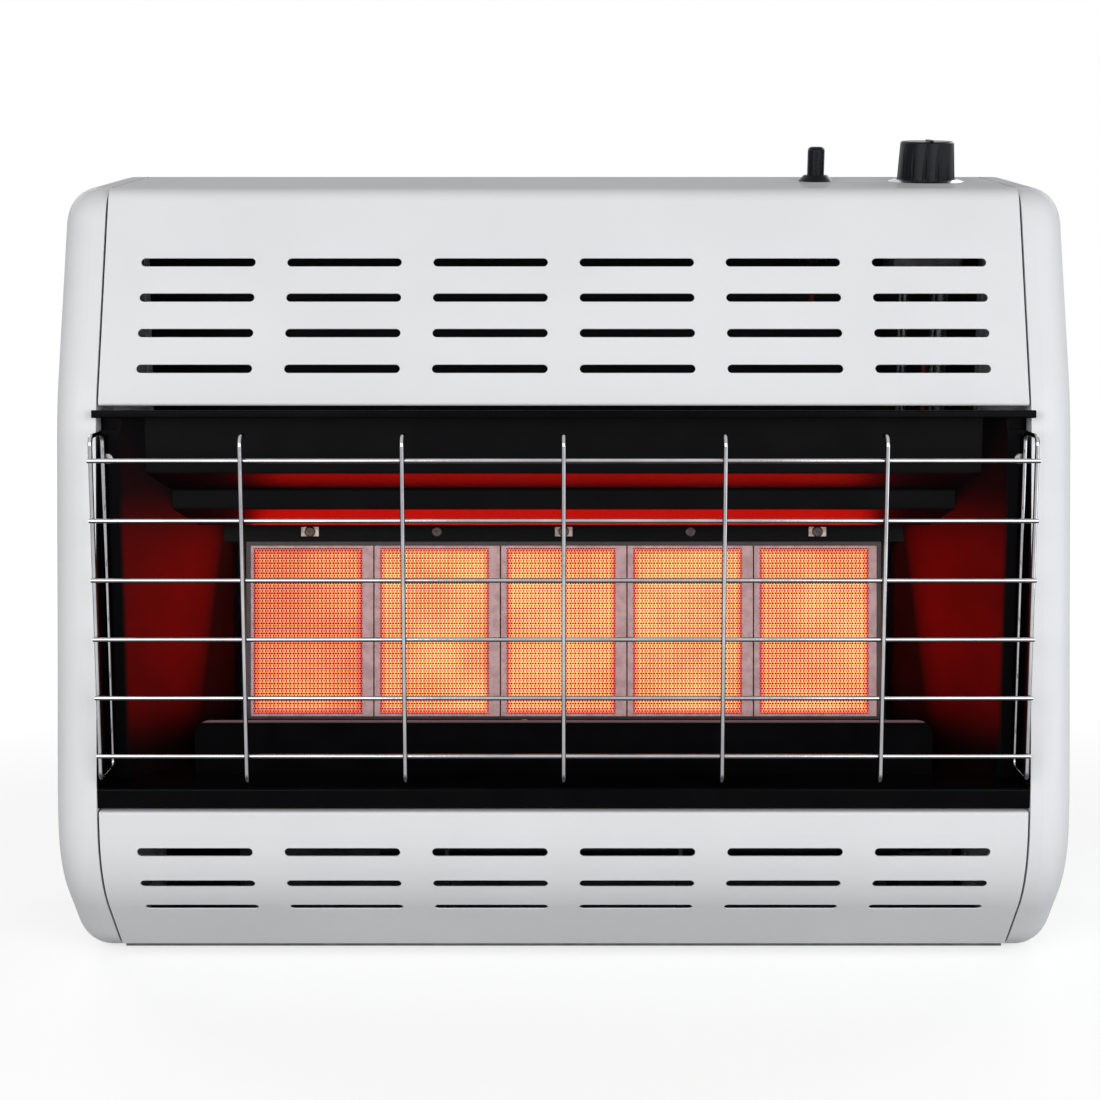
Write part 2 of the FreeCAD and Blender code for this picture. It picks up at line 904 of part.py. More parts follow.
def frame_ring(outer_half, outer_rise, inner_half_width, inner_rise, start, depth):
    outer = block(V(-outer_half, start, -outer_rise), V(outer_half, start + depth, outer_rise))
    inner = block(V(-inner_half_width, start, -inner_rise), V(inner_half_width, start + depth, inner_rise))
    return outer.cut(inner)


def burner_face_frame():
    """A pan that holds the plaques, with a lip over their edges and flanges above and below."""
    wall = frame_ring(
        frame_half, frame_rise, field_half + seat_gap, field_rise + seat_gap, 0, plenum_front
    )
    lip = frame_ring(
        frame_half, frame_rise + frame_flange, field_half - frame_lip, field_rise - frame_lip,
        -frame_sheet, frame_sheet,
    )
    whole = on_burner(wall.fuse(lip).removeSplitter())
    return whole.cut([screw_hole(place, burner_way()) for place in burner_screw_places()])


def plaque_gasket():
    ring = frame_ring(
        field_half, field_rise, field_half - gasket_width, field_rise - gasket_width,
        plaque_depth, gasket_depth,
    )
    return on_burner(ring)


def burner_plenum():
    outer = block(
        V(-plenum_half, plenum_front, -plenum_rise),
        V(plenum_half, plenum_back, plenum_rise),
    )
    inner = block(
        V(plenum_sheet - plenum_half, plenum_front, plenum_sheet - plenum_rise),
        V(plenum_half - plenum_sheet, plenum_back - plenum_sheet, plenum_rise - plenum_sheet),
    )
    flange = frame_ring(
        frame_half, frame_rise, plenum_half, plenum_rise, plenum_front, plenum_sheet
    )
    whole = outer.cut(inner).fuse(flange).removeSplitter()
    for side in (-1, 1):
        start = V(side * venturi_x, plenum_middle, -plenum_rise - cut_over)
        whole = whole.cut(rod(venturi_radius - venturi_wall, start, Z_AXIS, 2 * cut_over))
    return on_burner(whole)


def right_burner_bracket():
    points = [
        (plenum_half + bracket_flange, shield_y),
        (plenum_half, shield_y),
        (plenum_half, burner_y + plenum_back - bracket_lap),
    ]
    face = ribbon(points, [return_bend_radius], firebox_sheet, in_xy)
    low = burner_point(0, plenum_middle)[1] - bracket_height / 2
    face.translate(V(0, 0, low))
    return face.extrude(Z_AXIS * bracket_height)


def venturi_tube(side):
    """A mixing tube that hangs from the plenum, with a collar above and a bell mouth below."""
    top = V(side * venturi_x, plenum_middle, -plenum_rise)
    down = Z_AXIS * -1
    inner_radius = venturi_radius - venturi_wall
    body = rod(venturi_radius, top, down, venturi_length - bell_length)
    body = body.fuse(rod(venturi_radius + venturi_collar, top, down, venturi_wall * 2))
    bell_top = top + down * (venturi_length - bell_length)
    body = body.fuse(Part.makeCone(venturi_radius, bell_radius, bell_length, bell_top, down))
    bore = rod(inner_radius, top, down, venturi_length - bell_length)
    bell_bore = Part.makeCone(inner_radius, bell_radius - venturi_wall, bell_length, bell_top, down)
    return on_burner(body.cut([bore, bell_bore]).removeSplitter())


def burner_orifice(side):
    """A drilled brass jet that stands on the manifold."""
    base = V(side * venturi_x, plenum_middle, -manifold_drop + manifold_radius)
    body = rod(orifice_radius, base, Z_AXIS, orifice_length * 2 / 3)
    nose_base = base + Z_AXIS * (orifice_length * 2 / 3)
    nose = Part.makeCone(orifice_radius, orifice_radius / 2, orifice_length / 3, nose_base, Z_AXIS)
    bore = rod(orifice_bore, base, Z_AXIS, orifice_length)
    return on_burner(body.fuse(nose).cut(bore).removeSplitter())


def manifold_start():
    return V(-venturi_x - manifold_overhang, plenum_middle, -manifold_drop)


def orifice_manifold():
    """A closed pipe with a flat seat under each jet; gas comes in at its right end."""
    start = manifold_start()
    length = manifold_reach - start.x
    pipe = rod(manifold_radius, start, X_AXIS, length)
    bore = rod(manifold_radius - manifold_wall, start + X_AXIS * manifold_wall, X_AXIS, length)
    for side in (-1, 1):
        low = V(side * venturi_x, plenum_middle, -manifold_drop)
        pipe = pipe.fuse(rod(orifice_radius, low, Z_AXIS, manifold_radius))
    pipe = pipe.cut(bore)
    for side in (-1, 1):
        low = V(side * venturi_x, plenum_middle, -manifold_drop)
        pipe = pipe.cut(rod(orifice_bore, low, Z_AXIS, manifold_radius))
    return on_burner(pipe.removeSplitter())


def manifold_hanger(side):
    """A footed plate on the base pan that carries the manifold."""
    y, z = burner_point(-manifold_drop, plenum_middle)
    x = side * venturi_x * hanger_share
    reach = manifold_radius + hanger_margin
    low = V(x - hanger_width / 2, y - reach, casing_sheet)
    plate = block(low, V(x + hanger_width / 2, y + reach, z + reach))
    foot = block(low, V(x + hanger_foot, y + reach, casing_sheet + hanger_width))
    hole = rod(manifold_radius + seat_gap, V(x - cut_over, y, z), X_AXIS, 2 * cut_over)
    return plate.fuse(foot).cut(hole).removeSplitter()


def valve_body():
    body = centred_block(
        valve_width, valve_depth, valve_height, V(0, 0, -valve_top - valve_height / 2)
    )
    body = body.makeFillet(regulator_edge, [e for e in body.Edges if e.BoundBox.ZLength > tiny])
    neck_top = neck_end()
    neck = rod(valve_neck_radius, V(0, 0, -valve_top), Z_AXIS, valve_top - neck_top)
    bore_low = V(0, 0, -stem_depth - knob_travel - seat_gap)
    bore = rod(stem_radius + stem_fit, bore_low, Z_AXIS, stem_depth + cut_over)
    return on_top(body.fuse(neck).removeSplitter().cut(bore), knob_x)


def washer_top():
    """Depth of the thrust washer's upper face below the top."""
    return bezel_depth + washer_drop


def neck_end():
    """Depth of the valve neck below the top, clear of the pressed washer."""
    return washer_top() + washer_depth + knob_travel + washer_drop


def thrust_washer():
    top = V(0, 0, -washer_top() - washer_depth)
    return on_top(tube(washer_radius, stem_radius + stem_fit, top, Z_AXIS, washer_depth), knob_x)


def valve_stem():
    start = V(0, 0, -stem_depth)
    stem = rod(stem_radius, start, Z_AXIS, stem_depth + knob_socket)
    flat_cut = block(V(-knob_radius, stem_radius / 2, seat_gap), V(knob_radius, knob_radius, knob_height))
    return on_top(stem.cut(flat_cut), knob_x)


def control_knob():
    """A fluted knob with a hollow skirt, a D-shaped socket and a raised pointer."""
    low = V(0, 0, seat_gap)
    body = Part.makeCone(knob_radius, knob_top_radius, knob_height - knob_edge, low, Z_AXIS)
    rim = Part.makeCone(
        knob_top_radius, knob_top_radius - knob_edge, knob_edge,
        V(0, 0, seat_gap + knob_height - knob_edge), Z_AXIS,
    )
    body = body.fuse(rim)
    flutes = []
    for step in range(knob_flutes):
        angle = 360 * step / knob_flutes
        foot = V(knob_radius * cos(angle), knob_radius * sin(angle), knob_edge * 2)
        flutes.append(rod(flute_radius, foot, Z_AXIS, knob_height))
    body = body.cut(flutes)
    pointer = centred_block(
        knob_pointer_width, knob_top_radius - knob_edge, knob_pointer_height,
        V(0, -knob_top_radius / 2, seat_gap + knob_height + knob_pointer_height / 2),
    )
    hollow = tube(knob_radius - knob_wall, stem_radius + knob_wall, V(0, 0, 0), Z_AXIS, knob_hollow)
    socket = rod(stem_radius, V(0, 0, 0), Z_AXIS, knob_socket)
    flat_cut = block(V(-knob_radius, stem_radius / 2, seat_gap), V(knob_radius, knob_radius, knob_height))
    body = body.fuse(pointer).cut([hollow, socket.cut(flat_cut)])
    return on_top(body.removeSplitter(), knob_x)


def knob_bezel():
    """A dished cup in the top that the knob's skirt sinks into."""
    inner = knob_radius + bezel_gap
    outer = inner + bezel_sheet
    cup = rod(outer, V(0, 0, -bezel_depth), Z_AXIS, bezel_depth + bezel_rise)
    rim = Part.makeCone(outer + bezel_flange, outer, bezel_rise, V(0, 0, 0), Z_AXIS)
    hollow = rod(inner, V(0, 0, bezel_sheet - bezel_depth), Z_AXIS, bezel_depth + bezel_rise)
    hole = rod(stem_radius + bezel_gap, V(0, 0, -bezel_depth), Z_AXIS, bezel_depth)
    return on_top(cup.fuse(rim).cut([hollow, hole]).removeSplitter(), knob_x)


def valve_bracket():
    """A saddle under the top, with two legs that hold the valve by its sides."""
    top = -casing_sheet
    low = top - valve_bracket_sheet
    plate = block(
        V(-valve_bracket_width / 2, -valve_bracket_depth / 2, low),
        V(valve_bracket_width / 2, valve_bracket_depth / 2, top),
    )
    plate = plate.cut(rod(knob_hole_radius, V(0, 0, -cut_over), Z_AXIS, cut_over))
    for side in (-1, 1):
        near = side * valve_width / 2
        far = side * (valve_width / 2 + valve_bracket_sheet)
        leg = block(
            V(min(near, far), -valve_depth / 2, low - valve_bracket_leg),
            V(max(near, far), valve_depth / 2, top),
        )
        plate = plate.fuse(leg)
    return on_top(plate.removeSplitter(), knob_x)


def gas_ports():
    """Nut seats under the valve: x and depth from the knob axis, nut radius and tube radius."""
    gas = (gas_nut_radius, gas_tube_radius)
    return {
        "inlet": (gas_port_x, gas_port_back, *gas),
        "supply": (gas_port_x, -gas_port_front, *gas),
        "pilot": (-gas_port_x, -gas_port_front, pilot_nut_radius, pilot_tube_radius),
        "thermocouple": (-gas_port_x, gas_port_back, pilot_nut_radius, lead_radius),
    }


def port_point(name, drop):
    """A point below one port of the valve, at a drop from the valve's underside."""
    x, across, _, _ = gas_ports()[name]
    return top_point(knob_x + x, across, -valve_top - valve_height - drop)


def tube_nuts():
    """Hexagon nuts under the valve."""
    nuts = []
    low = -valve_top - valve_height - gas_nut_length
    for x, across, nut_radius, tube_radius in gas_ports().values():
        corners = [
            V(x + nut_radius * cos(60 * i), across + nut_radius * sin(60 * i), low) for i in range(7)
        ]
        nut = Part.Face(Part.makePolygon(corners)).extrude(Z_AXIS * gas_nut_length)
        hole = rod(tube_radius + stem_fit, V(x, across, low), Z_AXIS, gas_nut_length)
        nuts.append(on_top(nut.cut(hole), knob_x))
    return Part.makeCompound(nuts)


def igniter_body():
    low = -igniter_neck_length - igniter_body_length
    body = rod(igniter_body_radius, V(0, 0, low), Z_AXIS, igniter_body_length)
    body = body.fuse(rod(igniter_neck_radius, V(0, 0, low), Z_AXIS, -low))
    body = body.fuse(rod(terminal_radius, V(0, 0, low - terminal_length), Z_AXIS, terminal_length))
    depth = button_depth + button_travel + button_dome
    bore = rod(button_radius + button_fit, V(0, 0, -depth), Z_AXIS, depth + cut_over)
    return on_top(body.cut(bore).removeSplitter(), igniter_x)


def igniter_nut():
    low = -casing_sheet - igniter_nut_length
    corners = [V(igniter_nut_radius * cos(60 * i), igniter_nut_radius * sin(60 * i), low) for i in range(7)]
    nut = Part.Face(Part.makePolygon(corners)).extrude(Z_AXIS * igniter_nut_length)
    nut = nut.cut(rod(igniter_neck_radius + stem_fit, V(0, 0, low), Z_AXIS, igniter_nut_length))
    return on_top(nut, igniter_x)


def igniter_bezel():
    collar = Part.makeCone(collar_radius, collar_top_radius, collar_height, ORIGIN, Z_AXIS)
    collar = collar.cut(rod(button_radius + collar_gap, ORIGIN, Z_AXIS, collar_height))
    return on_top(collar, igniter_x)


def igniter_button():
    button = rod(button_radius, V(0, 0, -button_depth), Z_AXIS, button_depth + button_height)
    top_edges = [e for e in button.Edges if abs(e.CenterOfMass.z - button_height) < tiny]
    return on_top(button.makeFillet(button_dome, top_edges), igniter_x)


def regulator_bracket():
    y = port_point("inlet", gas_nut_length).y
    x = knob_x + gas_port_x
    reach = regulator_depth / 2
    points = [
        (y - reach - regulator_rise, casing_sheet),
        (y - reach - seat_gap, casing_sheet),
        (y - reach - seat_gap, regulator_rise),
        (y + reach, regulator_rise),
    ]
    shape = sheet_across(points, [return_bend_radius] * 2, casing_sheet, regulator_width / 2)
    shape.translate(V(x, 0, 0))
    return shape


def regulator_place():
    """Middle of the regulator's underside, straight below the valve's inlet lane."""
    lane = port_point("inlet", gas_nut_length + tube_drop)
    return V(lane.x, lane.y, casing_sheet + regulator_rise)


def gas_regulator():
    low = regulator_place()
    half = V(regulator_width / 2, regulator_depth / 2, 0)
    body = block(low - half, low + half + Z_AXIS * regulator_height)
    body = body.makeFillet(regulator_edge, [e for e in body.Edges if e.BoundBox.ZLength > tiny])
    inlet = inlet_place()
    spigot = rod(inlet_radius, V(inlet.x, low.y, inlet.z), Y_AXIS, inlet.y - low.y)
    bore = rod(inlet_bore, inlet - Y_AXIS * inlet_thread_depth, Y_AXIS, inlet_thread_depth)
    cap = rod(regulator_cap_radius, low + Z_AXIS * regulator_height, Z_AXIS, regulator_cap_height)
    return body.fuse([spigot, cap]).cut(bore).removeSplitter()


def inlet_tube():
    start = port_point("inlet", 0)
    lane = port_point("inlet", gas_nut_length + tube_drop)
    end = regulator_place() + Z_AXIS * (regulator_height + regulator_cap_height)
    return bent_tube([start, lane, end], gas_tube_radius, gas_tube_wall, gas_tube_bend)


def supply_tube():
    start = port_point("supply", 0)
    lane = port_point("supply", gas_nut_length + tube_drop)
    y, z = burner_point(-manifold_drop, plenum_middle)
    points = [
        start,
        lane,
        V(lane.x, lane.y, lead_lane_height + lead_lane_pitch * 2),
        V(lane.x, y, lead_run_height + lead_lane_pitch),
        V(lane.x, y, z),
        V(manifold_reach, y, z),
    ]
    return bent_tube(points, gas_tube_radius, gas_tube_wall, gas_tube_bend)


def lead_route(start, lane, x, step, end_z):
    """Down behind the reflector, along the lower compartment and up through the floor."""
    run_y = datum_y + lead_run_back
    run_z = lead_run_height - step * lead_lane_pitch
    return [
        *start,
        V(lane.x, lane.y, lead_lane_height),
        V(lane.x, run_y, run_z),
        V(x, run_y, run_z),
        V(x, pilot_y, run_z),
        V(x, pilot_y, end_z),
    ]


def pilot_tube():
    lane = port_point("pilot", gas_nut_length + tube_drop)
    start = [port_point("pilot", 0), lane]
    points = lead_route(start, lane, pilot_places()[1].x, 0, pilot_z)
    return bent_tube(points, pilot_tube_radius, pilot_tube_wall, lead_bend)


def thermocouple():
    """The probe beside the pilot and its lead back to the valve."""
    place = pilot_places()[0]
    lane = port_point("thermocouple", gas_nut_length + tube_drop)
    start = [port_point("thermocouple", 0), lane]
    lead = bent_tube(lead_route(start, lane, place.x, 1, pilot_z), lead_radius, 0, lead_bend)
    probe = rod(probe_radius, place, Z_AXIS, probe_length)
    return lead.fuse(probe).removeSplitter()


def igniter_lead():
    low = -igniter_neck_length - igniter_body_length - terminal_length
    start = top_point(igniter_x, 0, low)
    first = top_point(igniter_x, 0, low - tube_drop)
    lane = V(knob_x - spark_lane_offset, datum_y + spark_lane_back, first.z - spark_lane_drop)
    points = lead_route([start, first, lane], lane, pilot_places()[2].x, 2, pilot_z)
    return bent_tube(points, spark_lead_radius, 0, lead_bend)


def spark_electrode():
    place = pilot_places()[2]
    body = rod(electrode_radius, place, Z_AXIS, electrode_length)
    pin = rod(spark_pin_radius, place + Z_AXIS * electrode_length, Z_AXIS, spark_pin_length)
    return body.fuse(pin).removeSplitter()


def pilot_burner():
    place = pilot_places()[1]
    body = rod(pilot_radius, place, Z_AXIS, pilot_length)
    slot = centred_block(
        pilot_radius * 2, pilot_slot, pilot_slot * 2, place + Z_AXIS * (pilot_length - pilot_slot * 2)
    )
    return body.cut(slot)


def pilot_bracket():
    """A plate on the baffle's back that carries the pilot, the probe and the electrode."""
    places = pilot_places()
    low = V(places[0].x - pilot_bracket_margin, baffle_y + firebox_sheet, pilot_z)
    high = V(places[-1].x, pilot_y, pilot_z)
    high += V(pilot_bracket_margin, pilot_bracket_margin, pilot_bracket_sheet)
    plate = block(low, high)
    back = block(low, V(high.x, low.y + pilot_bracket_sheet, pilot_z + pilot_bracket_margin))
    radii = (probe_radius, pilot_radius, electrode_radius)
    holes = [rod(r + stem_fit, p - Z_AXIS * cut_over, Z_AXIS, 2 * cut_over) for r, p in zip(radii, places)]
    return plate.fuse(back).cut(holes).removeSplitter()


def casing_screws():
    return Part.makeCompound([screw(place, Y_AXIS * -1) for place in rear_screw_places()])


def flange_screws():
    right = screw(flange_screw_place(), Y_AXIS)
    return Part.makeCompound([right, mirrored(right)])


def flange_nuts():
    """Square nuts behind the reflector flanges."""
    middle = flange_screw_place() + Y_AXIS * (firebox_sheet + nut_height / 2)
    nut = centred_block(nut_width, nut_height, nut_width, middle)
    nut = nut.cut(rod(screw_radius + stem_fit, middle - Y_AXIS * cut_over, Y_AXIS, 2 * cut_over))
    return Part.makeCompound([nut, mirrored(nut)])


def burner_screws():
    lift = burner_way() * -clip_sheet
    screws = []
    for column, place in enumerate(burner_screw_places()):
        seat = place + lift if column in clip_columns else place
        screws.append(screw(seat, burner_way()))
    return Part.makeCompound(screws)


def burner_clips():
    """Small plates under some of the burner screws."""
    clips = []
    front = -2 * frame_sheet - firebox_sheet - clip_sheet / 2
    for column in clip_columns:
        x = (column - (plaque_count - 1) / 2) * plaque_pitch
        middle = V(x, front, burner_screw_rise())
        clips.append(on_burner(centred_block(clip_width, clip_sheet, clip_height, middle)))
    holes = [screw_hole(place, burner_way()) for place in burner_screw_places()]
    return Part.makeCompound([clip.cut(holes) for clip in clips])


def guard_uprights():
    wires = []
    for column in range(uprights):
        x = (column - (uprights - 1) / 2) * upright_pitch
        back = upright_y + upright_tip
        points = [
            V(x, back, guard_top - wire / 2),
            V(x, upright_y, guard_top - wire / 2),
            V(x, upright_y, guard_bottom + wire / 2),
            V(x, back, guard_bottom + wire / 2),
        ]
        wires.append(bent_tube(points, wire / 2, 0, guard_bend_radius))
    return Part.makeCompound(wires)


def guard_cross_wires():
    wires = []
    for row in range(cross_wires):
        start = V(-loop_half_width - wire / 2, cross_y, cross_bottom + row * cross_pitch)
        wires.append(rod(wire / 2, start, X_AXIS, 2 * loop_half_width + wire))
    return Part.makeCompound(wires)


def guard_end_loop(side):
    """A closed end loop with two hooks that enter the reflector's flange."""
    x = side * loop_half_width
    low = guard_bottom + wire / 2
    high = guard_top - wire / 2
    corners = [
        V(x, loop_front_y, low),
        V(x, loop_back_y, low),
        V(x, loop_back_y, high),
        V(x, loop_front_y, high),
    ]
    path = closed_wire(corners, [guard_bend_radius] * len(corners))
    start = (corners[-1] + corners[0]) / 2
    ring = Part.Wire(Part.makeCircle(wire / 2, start, Z_AXIS))
    loop = path.makePipeShell([ring], True, False)
    hooks = [rod(wire / 2, V(x, loop_back_y, z), Y_AXIS, hook_length) for z in hook_heights()]
    return loop.fuse(hooks).removeSplitter()


def guard_end_loops():
    return Part.makeCompound([guard_end_loop(-1), guard_end_loop(1)])


def nodes():
    side = right_side_panel()
    reflector = right_reflector()
    bracket = right_burner_bracket()
    made = {
        "right_side_panel": side,
        "left_side_panel": mirrored(side),
        "rear_panel": rear_panel(),
        "upper_front_panel": upper_front_panel(),
        "lower_front_panel": lower_front_panel(),
        "base_pan": base_pan(),
        "heat_hood": heat_hood(),
        "hood_trim": hood_trim(),
        "right_reflector": reflector,
        "left_reflector": mirrored(reflector),
        "firebox_floor": firebox_floor(),
        "burner_baffle": burner_baffle(),
        "rear_heat_shield": rear_heat_shield(),
        "burner_plenum": burner_plenum(),
        "plaque_gasket": plaque_gasket(),
        "burner_face_frame": burner_face_frame(),
        "burner_screws": burner_screws(),
        "burner_clips": burner_clips(),
        "right_burner_bracket": bracket,
        "left_burner_bracket": mirrored(bracket),
        "left_venturi_tube": venturi_tube(-1),
        "right_venturi_tube": venturi_tube(1),
        "burner_orifices": Part.makeCompound([burner_orifice(-1), burner_orifice(1)]),
        "orifice_manifold": orifice_manifold(),
        "manifold_hangers": Part.makeCompound([manifold_hanger(-1), manifold_hanger(1)]),
        "gas_valve_body": valve_body(),
        "valve_bracket": valve_bracket(),
        "valve_stem": valve_stem(),
        "thrust_washer": thrust_washer(),
        "control_knob": control_knob(),
        "knob_bezel": knob_bezel(),
        "tube_nuts": tube_nuts(),
        "igniter_body": igniter_body(),
        "igniter_nut": igniter_nut(),
        "igniter_bezel": igniter_bezel(),
        "igniter_button": igniter_button(),
        "igniter_lead": igniter_lead(),
        "gas_regulator": gas_regulator(),
        "regulator_bracket": regulator_bracket(),
        "inlet_tube": inlet_tube(),
        "burner_supply_tube": supply_tube(),
        "pilot_burner": pilot_burner(),
        "pilot_bracket": pilot_bracket(),
        "pilot_tube": pilot_tube(),
        "thermocouple": thermocouple(),
        "spark_electrode": spark_electrode(),
        "casing_screws": casing_screws(),
        "flange_screws": flange_screws(),
        "flange_nuts": flange_nuts(),
        "guard_uprights": guard_uprights(),
        "guard_cross_wires": guard_cross_wires(),
        "guard_end_loops": guard_end_loops(),
    }
    for column in range(plaque_count):
        made[f"ceramic_plaque_{column + 1}"] = plaque(column)
    return made


def main():
    os.makedirs("parts", exist_ok=True)
    for name, shape in nodes().items():
        if not shape.isValid():
            print("not valid", name)
        shape.exportStep(f"parts/{name}.step")
        box = shape.BoundBox
        corners = (box.XMin, box.YMin, box.ZMin, box.XMax, box.YMax, box.ZMax)
        print(name, len(shape.Solids), [round(value, 1) for value in corners])


main()
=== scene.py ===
import json
import math

import bpy
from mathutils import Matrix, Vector

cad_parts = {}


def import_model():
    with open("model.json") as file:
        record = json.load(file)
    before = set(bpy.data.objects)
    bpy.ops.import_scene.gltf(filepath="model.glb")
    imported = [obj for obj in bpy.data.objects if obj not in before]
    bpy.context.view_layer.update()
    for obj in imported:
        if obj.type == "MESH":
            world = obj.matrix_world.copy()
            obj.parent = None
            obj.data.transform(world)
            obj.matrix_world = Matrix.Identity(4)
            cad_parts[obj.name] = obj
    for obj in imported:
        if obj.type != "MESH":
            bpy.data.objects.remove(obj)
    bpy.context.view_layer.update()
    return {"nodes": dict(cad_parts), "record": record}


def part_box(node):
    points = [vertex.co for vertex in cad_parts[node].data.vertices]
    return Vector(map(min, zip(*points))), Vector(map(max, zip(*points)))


# Looks of the radiant gas heater. Lengths are in metres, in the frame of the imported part, and angles in degrees.

MILLIMETRE = 0.001
WHITE = (1, 1, 1)

# Camera, worked out from the photograph's perspective for a square frame. It stands ahead of the casing's front plane,
# which the guard reaches past.
FRAME_PIXELS = 1100
FOCAL_PIXELS = 1974
OBJECT_OFFSET_PIXELS = 13.7
SENSOR_MILLIMETRES = 36.0
CAMERA_PITCH = 8.0
CAMERA_AHEAD = 1.4009
CAMERA_HEIGHT = 0.5064
GUARD_REACH = 0.052

# Burner plaques: their lean and pitch, as the solids have them, and the perforated field on each
BURNER_LEAN = 8.0
PLAQUE_PITCH = 0.095
FIELD_HALF_WIDTH = 0.0412
FIELD_HALF_HEIGHT = 0.0625
FIELD_OFFSET = -0.002
FIELD_EDGE = 0.0012
RIM_WIDTH = 0.0045
HOLE_PITCH = 0.002
HOLE_ROW = 0.00188
HOLE_RADIUS = 0.00088
CELL_WIDTH = 0.00298
CELL_HEIGHT = 0.00377

# How hot the field looks, from 0 to 1: soft patches, more beyond the left plaque, bright cells, holes and a cooler rim
HEAT_PATCHES = 22.0
HEAT_NOISE = (0.25, 0.75)
HEAT_LEVELS = (0.7, 0.84)
LEFT_PLAQUE_END = (-1.6 * PLAQUE_PITCH, -1.4 * PLAQUE_PITCH)
HEAT_BEYOND_LEFT = 0.1
HEAT_OF_CELLS = 0.11
HEAT_OF_HOLES = -0.62
HEAT_OF_RIM = 0.55
GLOW_STRENGTH = 1.1
GLOW_STOPS = (
    (0.0, (0.02, 0.003, 0.012)),
    (0.25, (0.16, 0.006, 0.02)),
    (0.45, (0.78, 0.04, 0.06)),
    (0.7, (0.98, 0.23, 0.055)),
    (1.0, (1.0, 0.82, 0.3)),
)

# Clay of the plaques, under the glow and on their plain borders
CLAY_TONES = ((0.6, 0.4, 0.4), (0.48, 0.3, 0.3))
CLAY_PATCHES = 160.0
CLAY_NOISE = (0.35, 0.7)
FIELD_TONE = (0.12, 0.03, 0.02)
HOLE_TONE = (0.02, 0.01, 0.02)
CLAY_ROUGHNESS = 0.8
CLAY_SPECULAR = 0.1
HOLE_BUMP = 0.6

# Black enamel of the firebox, the dark red painted on the reflectors as the plaques' glow mirrored in them, and a
# painted highlight along the baffle's top edge
BLACK_TONES = ((0.001, 0.001, 0.0015), (0.002, 0.002, 0.0025))
GLOW_PAINT_HALF_WIDTH = 0.3155
GLOW_PAINT_EDGE = 0.002
GLOW_PAINT_TOP = (0.306, 0.357)
GLOW_PAINT_FOOT = (0.157, 0.205)
# Painted highlight along the baffle's top edge: its width and tone
HIGHLIGHT_EDGE_WIDTH = 0.0022
HIGHLIGHT_EDGE_TONE = (0.16, 0.1, 0.1)

# Zinc spangles on the rear panel, and painted shade on its inside, which faces forward
SPANGLE_DENSITY = 85.0
SPANGLE_SHARE = 0.7
SPANGLE_TONE = (0.3, 0.31, 0.33)
INSIDE_SHADE_FACING = (-0.5, 0)
INSIDE_SHADE_TONE = (0.012, 0.012, 0.013)

# Painted dark reflection along the guard's wires, by the way the surface faces
MIRRORED_DARK_BESIDE = (0.4, 0.75)
MIRRORED_DARK_BENEATH = (-0.35, 0.2)
MIRRORED_DARK_SHARE = 0.93
MIRRORED_DARK_TONE = (0.03, 0.03, 0.035)

